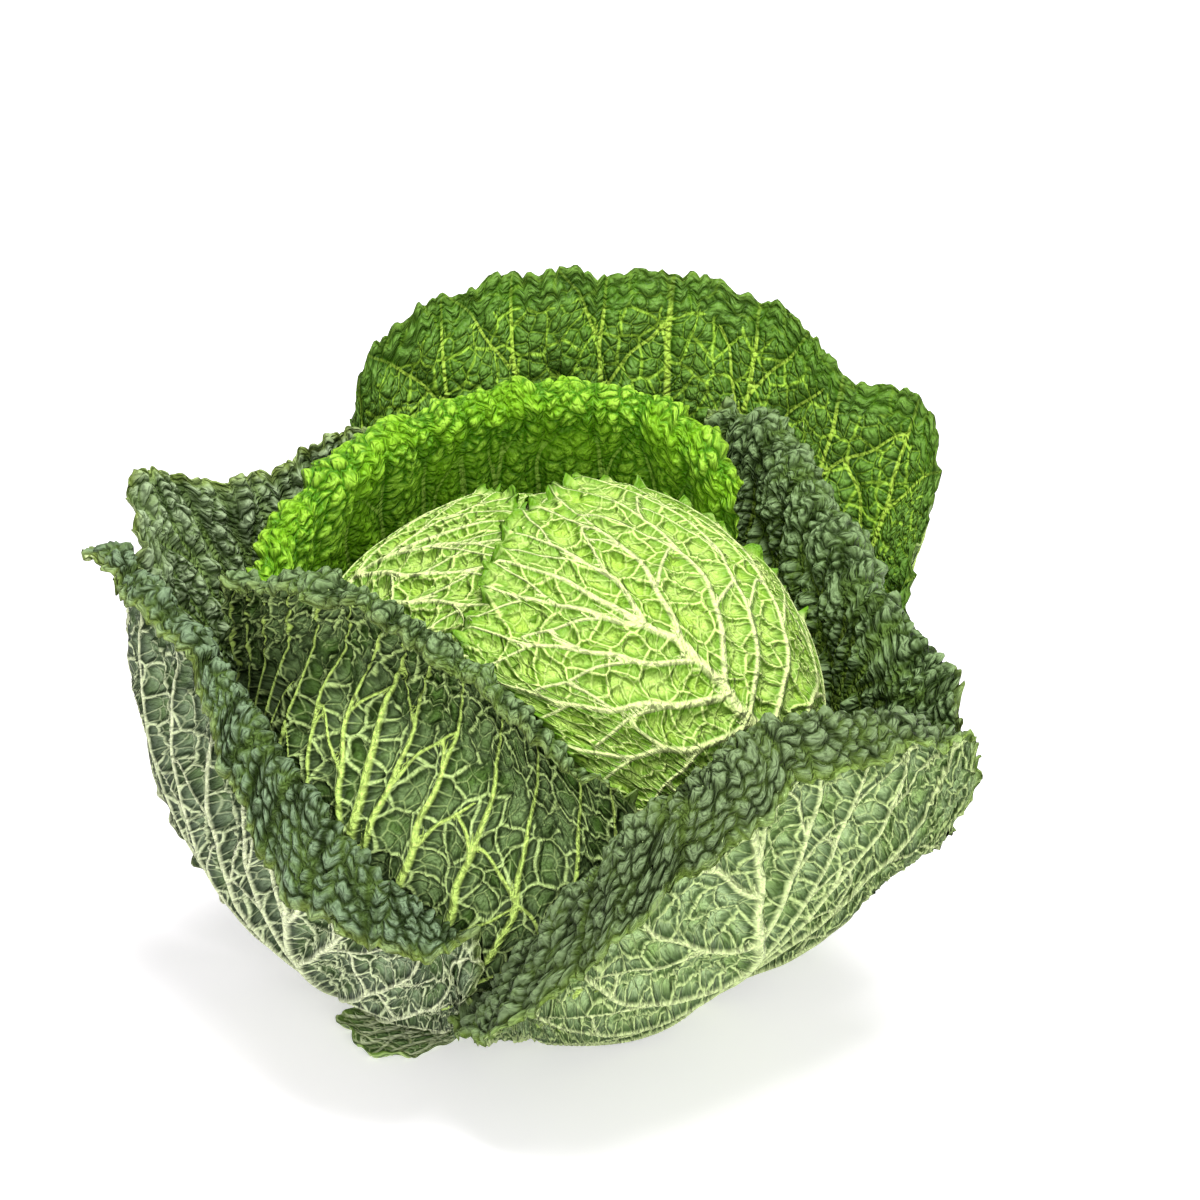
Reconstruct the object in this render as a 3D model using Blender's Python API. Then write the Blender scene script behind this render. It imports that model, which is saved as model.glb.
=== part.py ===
"""Savoy cabbage: a heart under three tight head leaves, nine loose leaves and the cut stem they grow from.

Units are metres and +Z is up. The cut face of the stem lies flat at z = 0 with its centre on the origin, the
front, where the head shows between the loose leaves, faces -Y, and the leaf tables below are in millimetres.
"""
import bpy
import numpy as np

MM = 0.001
SHEET = 1.3                               # thickness of a leaf
HEAD_MIDDLE = np.array([-19.0, -18.0, 89.0])
HEAD_AXIS = HEAD_MIDDLE / np.linalg.norm(HEAD_MIDDLE)     # the stem leans this way from the origin
HEAD_WIDE, HEAD_TALL = 85.0, 77.0         # half width and half height of the closed head
HEART_INSET = 7.2                         # how far the heart lies under the head's surface
STEM_FOOT, STEM_WAIST, STEM_TOP = 15.0, 9.0, 15.0        # foot radius, waist radius, height
HEAD_RAYS, HEAD_ROWS = 21, 12             # points across and along a head leaf
LOOSE_RAYS, LOOSE_ROWS, LIP_ROWS = 21, 9, 5               # across, along the blade, round the lip

# Head leaves. pole is the direction, from the middle of the head, in which the veins meet; edge lists the
# directions of the leaf's edge; gap is the distance from the head's surface.
HEAD_LEAVES = {
    "head_leaf_back": dict(pole=(0.3, 0.9, -0.3), start=0.1, gap=-5.6, color=(0.42, 0.62, 0.18), edge=[
        (-0.93, 0.3, 0.1), (-0.8, 0.3, 0.5), (-0.35, 0.3, 0.88), (0.1, 0.0, 1), (0.45, -0.05, 0.88),
        (0.85, 0.0, 0.5), (0.97, -0.05, 0.1), (0.95, 0.1, -0.25)]),
    "head_leaf_left": dict(pole=(-0.94, 0.1, -0.1), start=0.1, gap=-3.1, color=(0.5, 0.7, 0.24), edge=[
        (-0.6, 0.75, -0.1), (-0.6, 0.75, 0.3), (-0.45, 0.65, 0.6), (-0.17, 0.45, 0.88), (-0.07, 0, 1),
        (-0.02, -0.3, 0.95), (-0.03, -0.6, 0.8), (-0.1, -0.85, 0.5), (-0.3, -0.93, 0.1)]),
    "head_leaf_right": dict(pole=(0.89, -0.45, -0.15), start=0.06, gap=-0.7, color=(0.46, 0.66, 0.2), edge=[
        (0.35, -0.9, -0.1), (0.2, -0.95, 0.2), (-0.16, -0.81, 0.56), (-0.34, -0.65, 0.68),
        (-0.33, -0.53, 0.78), (-0.24, -0.3, 0.92), (-0.18, -0.12, 0.98), (-0.05, 0.09, 0.99),
        (0.16, 0.42, 0.89), (0.39, 0.39, 0.83), (0.57, 0.35, 0.74), (0.75, 0.3, 0.55), (0.9, 0.2, 0.3)]),
}

# Loose leaves. The blade leaves the stem at root, bends at knee and ends on the rim. Each rim point is x, y,
# z, then the angle by which the blade leans out there, the angle through which its lip rolls outwards and
# the length of blade that hangs straight beyond the roll. gap is the least distance from the head.
LOOSE_LEAVES = {
    "wrapper_leaf_back": dict(
        root=(-6, 14, 11), knee=(-8, 80, 24), spread=50, bow=15, reach=0.45,
        lip=7, gap=4, floor=6, color=(0.1, 0.27, 0.02), rim=[
            (-104, -8, 127, 0, 80, 1), (-93, 12, 140, -10, 130, 3), (-79, 28, 149, -20, 155, 4),
            (-62, 42, 156, -25, 160, 4), (-41, 52, 160, -25, 160, 4), (-19, 57, 162, -25, 160, 4),
            (4, 56, 160, -25, 160, 4), (23, 50, 152, -15, 130, 3), (38, 40, 139, 0, 80, 1)]),
    "outer_leaf_front": dict(
        root=(-10, -13, 10), knee=(-60, -52, -4), spread=20, bow=25, reach=0.5,
        lip=5, gap=4, floor=4, color=(0.06, 0.15, 0.03), rim=[
            (-116, -2, 128, 0, 60, 2), (-102, -30, 141, 0, 120, 4), (-84, -50, 151, -5, 150, 4),
            (-64, -67, 150, -10, 150, 4), (-52, -78, 145, -15, 150, 4), (-36, -88, 137, -15, 150, 4),
            (-18, -97, 119, -15, 150, 3), (-2, -99, 107, -10, 120, 2), (12, -97, 96, -5, 40, 0)]),
    "outer_leaf_right": dict(
        root=(18, 6, 9), knee=(58, 20, 6), spread=36, bow=14, reach=0.45,
        lip=8, gap=5, floor=4, color=(0.05, 0.12, 0.04), rim=[
            (30, 80, 149, 10, 110, 4), (47, 66, 144, 10, 160, 6), (59, 46, 131, 15, 180, 6),
            (71, 20, 119, 20, 180, 6), (81, 0, 111, 25, 150, 6), (94, -16, 100, 40, 80, 4),
            (103, -28, 94, 60, 20, 0), (95, -38, 85, 50, 0, 0), (76, -38, 73, 30, 0, 0)]),
    "outer_leaf_back_left": dict(
        root=(-13, 15, 10), knee=(-82, 50, 6), spread=45, bow=10, reach=0.4,
        lip=6, gap=8, floor=3, color=(0.05, 0.13, 0.04), rim=[
            (-128, -6, 116, 10, 0, 0), (-147, 20, 147, 35, 0, 0), (-144, 34, 157, 35, 0, 0),
            (-126, 44, 151, 25, 0, 0), (-108, 54, 147, 25, 0, 0), (-96, 62, 152, 25, 0, 0),
            (-82, 70, 157, 20, 0, 0), (-70, 76, 149, 15, 0, 0)]),
    "outer_leaf_back": dict(
        root=(10, 18, 3), knee=(28, 104, -4), spread=60, bow=25, reach=0.42,
        lip=6, gap=14, floor=2, color=(0.06, 0.16, 0.03), rim=[
            (-82, 84, 149, 15, 0, 0), (-79, 90, 166, 15, 0, 0), (-64, 99, 182, 20, 0, 0),
            (-44, 106, 190, 20, 0, 0), (-6, 114, 192, 20, 0, 0), (29, 117, 188, 20, 0, 0),
            (56, 112, 180, 20, 0, 0), (73, 104, 163, 25, 0, 0), (99, 94, 155, 30, 0, 0),
            (103, 76, 129, 35, 0, 0), (92, 56, 101, 35, 0, 0)]),
    "outer_leaf_left": dict(
        root=(-17, -7, 5), knee=(-142, -22, -17), spread=34, bow=0, reach=0.3,
        lip=5, gap=8, floor=5, color=(0.06, 0.14, 0.05), rim=[
            (-140, 8, 119, 0, 50, 0), (-146, 3, 136, 4, 110, 4), (-143, -7, 142, 4, 125, 7),
            (-134, -22, 137, 2, 125, 6), (-123, -36, 130, 0, 125, 5), (-110, -50, 120, 0, 140, 9),
            (-96, -66, 105, 0, 150, 18), (-83, -80, 93, 0, 155, 24), (-68, -90, 81, 0, 150, 22),
            (-54, -94, 69, 0, 130, 16), (-42, -86, 51, 0, 70, 6), (-42, -68, 31, 0, 0, 0),
            (-58, -50, 19, 0, 0, 0)]),
    "outer_leaf_front_right": dict(
        root=(16, -9, 5), knee=(40, -24, -2), spread=8, bow=0, reach=0.4,
        lip=7, gap=8, floor=0.7, color=(0.07, 0.16, 0.06), rim=[
            (-46, -51, 8, 60, 0, 0), (-31, -68, 22, 40, 80, 6), (-22, -92, 50, 10, 140, 26),
            (-4, -108, 82, 0, 155, 30), (10, -112, 104, 0, 160, 24), (24, -110, 117, 0, 160, 18),
            (40, -98, 125, 0, 150, 15), (66, -78, 119, 5, 130, 13), (92, -57, 108, 15, 90, 9),
            (109, -46, 88, 35, 20, 0), (92, -36, 60, 50, 0, 0), (66, -28, 37, 60, 0, 0)]),
    "basal_leaf_left": dict(
        root=(-18, -9, 2.5), knee=(-46, -24, -3), spread=12, bow=0, reach=0.35,
        lip=6, gap=12, floor=0.7, color=(0.06, 0.15, 0.04), rim=[
            (-62, -17, 3, 70, 0, 0), (-76, -26, 4, 60, 0, 0), (-84, -37, 5, 50, 0, 0),
            (-80, -48, 5, 40, 0, 0), (-71, -58, 4, 30, 0, 0), (-61, -58, 3, 40, 0, 0)]),
    "basal_leaf_right": dict(
        root=(22, 4, 2), knee=(44, 16, -2), spread=12, bow=0, reach=0.35,
        lip=6, gap=12, floor=0.7, color=(0.12, 0.3, 0.03), rim=[
            (48, 0, 14, 60, 0, 0), (60, 10, 20, 60, 0, 0), (71, 22, 24, 60, 0, 0), (73, 36, 20, 60, 0, 0),
            (64, 46, 12, 60, 0, 0)]),
}
STEM_COLOR = (0.62, 0.68, 0.42)
HEART_COLOR = (0.55, 0.7, 0.3)


def unit(v):
    """Each row of v at length 1."""
    return v / np.maximum(np.linalg.norm(v, axis=-1, keepdims=True), 1e-9)


def head_radius(directions):
    """Distance to the head's surface, an ellipsoid of revolution about the stem's axis."""
    along = directions @ HEAD_AXIS
    return 1 / np.sqrt((1 - along**2) / HEAD_WIDE**2 + along**2 / HEAD_TALL**2)


def soft_floor(value, least, width):
    """value, eased so that it never falls under least."""
    return least + width * np.logaddexp(0, (value - least) / width)


def curve_through(points, t):
    """Smooth curve through the points, as t runs from -1 to 1 in proportion to the length between them."""
    p = np.asarray(points, float)
    s = np.concatenate([[0], np.cumsum(np.linalg.norm(np.diff(p[:, :3], axis=0), axis=1))])
    s = s / s[-1] * 2 - 1
    slope = np.diff(p, axis=0) / np.diff(s)[:, None]
    before, after = np.diff(s)[:-1, None], np.diff(s)[1:, None]
    m = np.concatenate([slope[:1], (slope[1:] * before + slope[:-1] * after) / (before + after), slope[-1:]])
    i = np.clip(np.searchsorted(s, t) - 1, 0, len(p) - 2)
    h = (s[i + 1] - s[i])[:, None]
    x = (t - s[i])[:, None] / h
    return ((2 * x**3 - 3 * x**2 + 1) * p[i] + (x**3 - 2 * x**2 + x) * h * m[i]
            + (3 * x**2 - 2 * x**3) * p[i + 1] + (x**3 - x**2) * h * m[i + 1])


def head_leaf(leaf):
    """Grid of points of a leaf pressed on the head: great arcs from the pole to each point of the edge."""
    edge = unit(curve_through(leaf["edge"], np.linspace(-1, 1, HEAD_RAYS)))
    pole = unit(np.array(leaf["pole"]))
    angle = np.arccos(edge @ pole)[:, None, None]
    s = np.linspace(leaf["start"], 1, HEAD_ROWS)[None, :, None]
    d = unit(np.sin((1 - s) * angle) * pole + np.sin(s * angle) * edge[:, None])
    return HEAD_MIDDLE + d * (head_radius(d)[..., None] + leaf["gap"])


def loose_leaf(leaf):
    """Grid of points of a loose leaf: cubic arcs from root by knee to rim, then the rolled lip."""
    t = np.linspace(-1, 1, LOOSE_RAYS)
    rim = curve_through(leaf["rim"], t)
    end, lean = rim[:, :3], np.radians(rim[:, 3])
    turn, hang = np.radians(np.maximum(rim[:, 4], 0)), np.maximum(rim[:, 5], 0)
    root, knee = np.array(leaf["root"], float), np.array(leaf["knee"], float)
    out = unit((knee - root) * (1, 1, 0))
    side = np.array([-out[1], out[0], 0])
    side = side if side @ (end[-1] - end[0]) > 0 else -side
    first = root + 10 * side * t[:, None]
    bend = knee + leaf["spread"] * side * t[:, None] - leaf["bow"] * out * t[:, None] ** 2 - first
    reach = 0.8 * np.linalg.norm(end - first, axis=1) / np.linalg.norm(bend, axis=1)
    bend = first + bend * np.minimum(1, reach)[:, None]
    level = unit((end - HEAD_MIDDLE) * (1, 1, 0))
    tangent = level * np.sin(lean)[:, None] + np.array([0, 0, 1]) * np.cos(lean)[:, None]
    last = end - tangent * leaf["reach"] * np.linalg.norm(end - bend, axis=1)[:, None]
    s = np.linspace(0, 1, LOOSE_ROWS)[None, :, None]
    grid = ((1 - s) ** 3 * first[:, None] + 3 * (1 - s) ** 2 * s * bend[:, None]
            + 3 * (1 - s) * s**2 * last[:, None] + s**3 * end[:, None])
    if turn.max() > 0:
        away = unit(np.cross(tangent, unit(np.gradient(end, axis=0))))
        away = away if np.median((away * (end - HEAD_MIDDLE)).sum(1)) > 0 else -away
        a = turn[:, None, None] * np.linspace(0, 1, LIP_ROWS + 1)[None, 1:, None]
        lip = end[:, None] + leaf["lip"] * (np.sin(a) * tangent[:, None] + (1 - np.cos(a)) * away[:, None])
        a = turn[:, None]
        tail = lip[:, -1] + hang[:, None] * (np.cos(a) * tangent + np.sin(a) * away)
        grid = np.concatenate([grid, lip, tail[:, None]], axis=1)
        if np.any(hang < 0.5):
            grid = grid[:, :-1]
            grid[:, -1] = tail
    from_head = grid - HEAD_MIDDLE
    d = unit(from_head)
    clear = head_radius(d)[..., None] + leaf["gap"]
    grid = HEAD_MIDDLE + d * soft_floor(np.linalg.norm(from_head, axis=-1, keepdims=True), clear, 2.0)
    grid[..., 2] = soft_floor(grid[..., 2], leaf["floor"], 0.5)
    return grid


def material(name, color, roughness):
    """A plain material in one colour."""
    made = bpy.data.materials.new(name)
    made.use_nodes = True
    shader = made.node_tree.nodes["Principled BSDF"]
    shader.inputs["Base Color"].default_value = (*color, 1)
    shader.inputs["Roughness"].default_value = roughness
    return made


def add(name, points, faces, color, roughness=0.6):
    """One named object from points in millimetres, shaded smooth, with its faces outward."""
    mesh = bpy.data.meshes.new(name)
    corners = points[np.array([f[:3] for f in faces])]
    if np.linalg.det(corners).sum() < 0:
        faces = [f[::-1] for f in faces]
    mesh.from_pydata((points * MM).tolist(), [], [list(map(int, f)) for f in faces])
    mesh.polygons.foreach_set("use_smooth", np.ones(len(mesh.polygons), bool))
    mesh.materials.append(material(name + "_skin", color, roughness))
    mesh.update()
    made = bpy.data.objects.new(name, mesh)
    bpy.context.scene.collection.objects.link(made)
    return made


def sheet(name, grid, color):
    """A leaf of even thickness about a grid of points."""
    normal = unit(np.cross(np.gradient(grid, axis=0), np.gradient(grid, axis=1)))
    rays, rows = grid.shape[:2]
    half = normal * SHEET / 2
    points = np.concatenate([(grid + half).reshape(-1, 3), (grid - half).reshape(-1, 3)])
    at = np.arange(rays * rows).reshape(rays, rows)
    upper = np.stack([at[:-1, :-1], at[1:, :-1], at[1:, 1:], at[:-1, 1:]], -1).reshape(-1, 4)
    edge = np.concatenate([at[:, 0], at[-1, 1:], at[-2::-1, -1], at[0, -2:0:-1]])
    next_ = np.roll(edge, -1)
    lower = upper[:, ::-1] + rays * rows
    wall = np.stack([next_, edge, edge + rays * rows, next_ + rays * rows], -1)
    quads = np.concatenate([upper, lower, wall])
    triangles = np.concatenate([quads[:, [0, 1, 2]], quads[:, [0, 2, 3]]])
    return add(name, points, triangles, color)


def revolved(rings, spokes):
    """Points and faces of a closed round solid. A ring is its middle and its two half widths as vectors."""
    turn = np.linspace(0, 2 * np.pi, spokes, endpoint=False)
    points = [m + np.outer(np.cos(turn), a) + np.outer(np.sin(turn), b) for m, a, b in rings]
    faces = []
    for row in range(len(rings) - 1):
        for k in range(spokes):
            low, near = row * spokes + k, row * spokes + (k + 1) % spokes
            faces.append((low, near, near + spokes, low + spokes))
    top = (len(rings) - 1) * spokes
    faces += [tuple(range(spokes - 1, -1, -1)), tuple(range(top, top + spokes))]
    return np.concatenate(points), faces


def heart():
    """The closed heart, a ball a little flattened along the stem's axis."""
    across = unit(np.cross(HEAD_AXIS, (0, 1, 0)))
    other = np.cross(HEAD_AXIS, across)
    rings = []
    for polar in np.linspace(0.06, np.pi - 0.06, 18):
        r, h = np.sin(polar) * (HEAD_WIDE - HEART_INSET), -np.cos(polar) * (HEAD_TALL - HEART_INSET)
        rings.append((HEAD_MIDDLE + HEAD_AXIS * h, across * r, other * r))
    points, faces = revolved(rings, 40)
    return add("heart", points, faces, HEART_COLOR)


def stump():
    """The stem: a flat cut foot that narrows to a waist under the head."""
    rings = []
    for part, radius in ((0.0, STEM_FOOT), (0.12, STEM_FOOT - 0.6), (0.3, STEM_WAIST + 2), (0.5, STEM_WAIST),
                         (1.0, STEM_WAIST - 1)):
        middle = HEAD_AXIS * STEM_TOP * part / HEAD_AXIS[2]
        middle[2] = STEM_TOP * part
        rings.append((middle, np.array([radius, 0, 0]), np.array([0, radius, 0])))
    points, faces = revolved(rings, 32)
    return add("stump", points, faces, STEM_COLOR, 0.7)


for old in list(bpy.data.objects):
    bpy.data.objects.remove(old)

stump()
heart()
for leaf_name, shape in HEAD_LEAVES.items():
    sheet(leaf_name, head_leaf(shape), shape["color"])
for leaf_name, shape in LOOSE_LEAVES.items():
    sheet(leaf_name, loose_leaf(shape), shape["color"])
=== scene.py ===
import bpy
import numpy as np
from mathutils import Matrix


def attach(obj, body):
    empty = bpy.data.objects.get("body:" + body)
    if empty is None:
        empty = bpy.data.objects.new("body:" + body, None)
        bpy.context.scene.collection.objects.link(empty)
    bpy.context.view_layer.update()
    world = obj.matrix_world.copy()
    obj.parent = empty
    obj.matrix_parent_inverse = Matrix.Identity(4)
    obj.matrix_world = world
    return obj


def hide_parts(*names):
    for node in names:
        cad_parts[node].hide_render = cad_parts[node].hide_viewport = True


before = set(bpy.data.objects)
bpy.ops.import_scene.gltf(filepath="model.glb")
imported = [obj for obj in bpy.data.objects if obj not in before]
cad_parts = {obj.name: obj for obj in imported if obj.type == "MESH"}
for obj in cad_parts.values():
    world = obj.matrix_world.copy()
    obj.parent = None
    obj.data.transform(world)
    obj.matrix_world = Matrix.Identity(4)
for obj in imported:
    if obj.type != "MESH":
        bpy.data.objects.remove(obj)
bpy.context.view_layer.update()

# The studio: a wide white floor that glows a little under an even white sky, one soft lamp above and a
# weaker, wider one low in front, and a long lens looking down by about 25 degrees at the open front of the
# cabbage.
FLOOR_HALF = 8.0
LAMPS_AIM = (-0.02, 0.0, 0.09)
CAMERA_PLACE, CAMERA_AIM = (-0.012, -1.6574, 0.8507), (-0.0034, -0.0075, 0.1297)


def floor_paper():
    """Matt white paper, lit a little from within as a backdrop with lamps behind it."""
    made = bpy.data.materials.new("floor_paper")
    made.use_nodes = True
    shader = made.node_tree.nodes["Principled BSDF"]
    shader.inputs["Base Color"].default_value = (0.73, 0.7, 0.74, 1)
    shader.inputs["Roughness"].default_value = 0.9
    shader.inputs["Emission Color"].default_value = (1, 1, 1, 1)
    shader.inputs["Emission Strength"].default_value = 0.5
    return made


def floor_plane(half):
    """A square at z = 0, half metres from its middle to each side."""
    mesh = bpy.data.meshes.new("floor")
    corners = [(-half, -half, 0), (half, -half, 0), (half, half, 0), (-half, half, 0)]
    mesh.from_pydata(corners, [], [(0, 1, 2, 3)])
    mesh.materials.append(floor_paper())
    made = bpy.data.objects.new("floor", mesh)
    bpy.context.scene.collection.objects.link(made)
    return made


def aimed(data, name, place, target):
    """A new object of that data, at place, looking at target: its -Z points along the line between them."""
    made = bpy.data.objects.new(name, data)
    bpy.context.scene.collection.objects.link(made)
    made.location = place
    back = np.subtract(place, target)
    yaw = np.arctan2(back[0], -back[1])
    pitch = np.arctan2(np.hypot(back[0], back[1]), back[2])
    made.rotation_euler = (pitch, 0, yaw)
    return made


def soft_lamp(name, place, size, watts):
    """A square lamp of that side, turned to the middle of the head."""
    lamp = bpy.data.lights.new(name, "AREA")
    lamp.size, lamp.energy = size, watts
    return aimed(lamp, name, place, LAMPS_AIM)


floor_plane(FLOOR_HALF)
soft_lamp("top_softbox", (0.12, -0.15, 1.4), 0.72, 30)
soft_lamp("front_softbox", (0.2, -1.5, 0.6), 0.8, 13)
world = bpy.data.worlds.new("white_room")
world.use_nodes = True
world.node_tree.nodes["Background"].inputs["Color"].default_value = (1, 1, 1, 1)
world.node_tree.nodes["Background"].inputs["Strength"].default_value = 0.5
bpy.context.scene.world = world
bpy.context.scene.view_settings.view_transform = "Standard"
camera = bpy.data.cameras.new("camera")
camera.lens, camera.sensor_width, camera.clip_end = 180, 36, 20
bpy.context.scene.camera = aimed(camera, "camera", CAMERA_PLACE, CAMERA_AIM)


# The stump is the cut stem, pale and fibrous: a flat sawn foot that narrows to a waist, from which every
# leaf grows. The cut has a ring of woody strands round a paler pith. Sizes from here on are in millimetres.
MM = 0.001
MAP_UNIT = 10.0                       # millimetres to one unit of a UV map
HEAD_MIDDLE = np.array([-19.0, -18.0, 89.0])
HEAD_AXIS = HEAD_MIDDLE / np.linalg.norm(HEAD_MIDDLE)
STEM_FOOT, STEM_WAIST, STEM_TOP = 15.0, 9.0, 15.0


def smooth(low, high, x):
    """0 below low, 1 above high, and 3x^2 - 2x^3 between them."""
    x = np.clip((x - low) / (high - low), 0, 1)
    return x * x * (3 - 2 * x)


def mesh_piece(name, points, faces, material, node, vectors=None, maps=None):
    """A piece from points in millimetres and rows of corners, with per-point attributes and per-point UV
    maps."""
    mesh = bpy.data.meshes.new(name)
    mesh.vertices.add(len(points))
    mesh.vertices.foreach_set("co", (points * MM).astype(np.float32).ravel())
    mesh.loops.add(faces.size)
    mesh.loops.foreach_set("vertex_index", faces.astype(np.int32).ravel())
    mesh.polygons.add(len(faces))
    mesh.polygons.foreach_set("loop_start", np.arange(0, faces.size, faces.shape[1], dtype=np.int32))
    mesh.polygons.foreach_set("use_smooth", np.ones(len(faces), bool))
    for key, value in (vectors or {}).items():
        stored = mesh.attributes.new(key, "FLOAT_VECTOR", "POINT")
        stored.data.foreach_set("vector", value.astype(np.float32).ravel())
    for key, value in (maps or {}).items():
        corners = (value / MAP_UNIT)[faces.ravel()].astype(np.float32)
        mesh.uv_layers.new(name=key).data.foreach_set("uv", corners.ravel())
    mesh.update(calc_edges=True)
    mesh.materials.append(material)
    made = bpy.data.objects.new(name, mesh)
    bpy.context.scene.collection.objects.link(made)
    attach(made, "root")
    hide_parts(node)
    return made


def wired(tree, kind, values=None, **links):
    """A new node of that kind, its settings from values, its input sockets from links (a socket or a
    number)."""
    node = tree.nodes.new(kind)
    for key, value in (values or {}).items():
        setattr(node, key, value)
    for key, value in links.items():
        key = int(key[1:]) if key[1:].isdigit() else key.replace("_", " ")
        if isinstance(value, bpy.types.NodeSocket):
            tree.links.new(value, node.inputs[key])
        else:
            node.inputs[key].default_value = value
    return node


def maths(tree, operation, *terms):
    """The result of one Math node."""
    return wired(tree, "ShaderNodeMath", {"operation": operation},
                 **{f"i{k}": t for k, t in enumerate(terms)}).outputs[0]


def eased(tree, value, low, high, start=0.0, end=1.0):
    """value mapped smoothly from low..high to start..end."""
    return wired(tree, "ShaderNodeMapRange", {"interpolation_type": "SMOOTHSTEP"},
                 i0=value, i1=low, i2=high, i3=start, i4=end).outputs[0]


def blended(tree, share, first, second, mode="MIX"):
    """The colour first, turned into second by share. Each is a socket or an sRGB triple of 0 to 255."""
    first, second = (c if isinstance(c, bpy.types.NodeSocket) else linear(c) for c in (first, second))
    return wired(tree, "ShaderNodeMix", {"data_type": "RGBA", "blend_type": mode},
                 i0=share, i6=first, i7=second).outputs[2]


def linear(color):
    """An sRGB triple of 0 to 255 as a linear colour with alpha."""
    c = np.array(color) / 255
    return (*np.where(c < 0.04045, c / 12.92, ((c + 0.055) / 1.055) ** 2.4).tolist(), 1.0)


def stem_material():
    """Pale green skin with long fibres, and on the cut a darker ring at 0.7 of the radius round pale
    pith."""
    made = bpy.data.materials.new("cut_stem")
    made.use_nodes = True
    tree = made.node_tree
    shader = tree.nodes["Principled BSDF"]
    place = wired(tree, "ShaderNodeTexCoord").outputs["Object"]
    split = wired(tree, "ShaderNodeSeparateXYZ", i0=place)
    radius = maths(tree, "SQRT", maths(tree, "ADD", maths(tree, "POWER", split.outputs[0], 2.0),
                                       maths(tree, "POWER", split.outputs[1], 2.0)))
    ring = maths(tree, "MULTIPLY", eased(tree, radius, 0.0085, 0.0105),
                 eased(tree, radius, 0.0105, 0.0125, 1.0, 0.0))
    fibre = wired(tree, "ShaderNodeTexNoise", i2=900.0, i3=4.0, Vector=place).outputs[0]
    skin = blended(tree, fibre, (150, 165, 100), (205, 212, 150))
    cut = blended(tree, ring, (226, 226, 188), (176, 180, 120))
    on_cut = eased(tree, split.outputs[2], 0.0001, 0.0006, 1.0, 0.0)
    tree.links.new(blended(tree, on_cut, skin, cut), shader.inputs["Base Color"])
    bump = wired(tree, "ShaderNodeBump", Height=fibre, Strength=0.4, Distance=0.6 * MM)
    tree.links.new(bump.outputs[0], shader.inputs["Normal"])
    shader.inputs["Roughness"].default_value = 0.5
    return made


def ring_faces(rings, spokes):
    """Quads between neighbouring rings of points, each ring closed on itself."""
    at = np.arange(rings * spokes).reshape(rings, spokes)
    around = np.roll(at, -1, axis=1)
    return np.stack([at[:-1], around[:-1], around[1:], at[1:]], -1).reshape(-1, 4)


def stump():
    """Rings up the leaning axis, radius easing from foot to waist with shallow flutes, closed at both
    ends."""
    steps, spokes = 24, 96
    height = np.concatenate([[0, 0], np.linspace(0, 1, steps), [1, 1]])
    radius = STEM_WAIST + (STEM_FOOT - STEM_WAIST) * (1 - smooth(0.05, 0.55, height))
    radius = radius * np.concatenate([[0.001, 0.6], np.ones(steps), [0.6, 0.001]])
    turn = np.linspace(0, 2 * np.pi, spokes, endpoint=False)
    flutes = 1 + 0.03 * np.sin(7 * turn + 0.6) + 0.02 * np.sin(13 * turn)
    rise = np.clip(height * 6, 0, 1)[:, None]
    wide = radius[:, None] * (1 + rise * (flutes - 1)) - 0.4 * (1 - rise)
    wide = np.clip(wide, 0.01, STEM_FOOT)
    middle = HEAD_AXIS[None] * (STEM_TOP * height / HEAD_AXIS[2])[:, None]
    points = np.stack([middle[:, :1] + wide * np.cos(turn), middle[:, 1:2] + wide * np.sin(turn),
                       np.repeat(STEM_TOP * height[:, None], spokes, 1)], -1)
    return mesh_piece("cut_stump", points.reshape(-1, 3), ring_faces(len(height), spokes), stem_material(),
                      "stump")


stump()


# The three head leaves lie tight on the head, one over the other, their undersides outward: pale blades with
# a raised net of veins, hollow between them, and a thin frilled edge. Under them the heart is more of the
# same, folded too tightly to tell apart.
HEAD_WIDE, HEAD_TALL = 85.0, 77.0
NET_CELL, BLISTER_CELL = 10.5, 5.0    # spacing of the net of veins, and of the blisters in it
NET_RANDOM = 0.9                      # how far a cell strays from a square grid, 0 to 1
RIM_READ = 2.5                        # how far in on the rim's map its notches are read
UPPER_LEAST, LOWER_LEAST = 0.25, 0.05  # heights that a leaf's two skins keep off the ground


def unit(v):
    """Each row of v divided by its length."""
    return v / np.maximum(np.linalg.norm(v, axis=-1, keepdims=True), 1e-9)


def head_radius(directions):
    """Distance to the head's surface, an ellipsoid of revolution: 1 / sqrt(sin^2 / wide^2 + cos^2 /
    tall^2)."""
    along = directions @ HEAD_AXIS
    return 1 / np.sqrt((1 - along**2) / HEAD_WIDE**2 + along**2 / HEAD_TALL**2)


def curve_through(points, t):
    """Smooth curve through the points, by cubic Hermite pieces, as t runs from -1 to 1 along its length."""
    p = np.asarray(points, float)
    s = np.concatenate([[0], np.cumsum(np.linalg.norm(np.diff(p[:, :3], axis=0), axis=1))])
    s = s / s[-1] * 2 - 1
    slope = np.diff(p, axis=0) / np.diff(s)[:, None]
    before, after = np.diff(s)[:-1, None], np.diff(s)[1:, None]
    m = np.concatenate([slope[:1], (slope[1:] * before + slope[:-1] * after) / (before + after), slope[-1:]])
    i = np.clip(np.searchsorted(s, t) - 1, 0, len(p) - 2)
    h = (s[i + 1] - s[i])[:, None]
    x = (t - s[i])[:, None] / h
    return ((2 * x**3 - 3 * x**2 + 1) * p[i] + (x**3 - 2 * x**2 + x) * h * m[i]
            + (3 * x**2 - 2 * x**3) * p[i + 1] + (x**3 - x**2) * h * m[i + 1])


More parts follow.
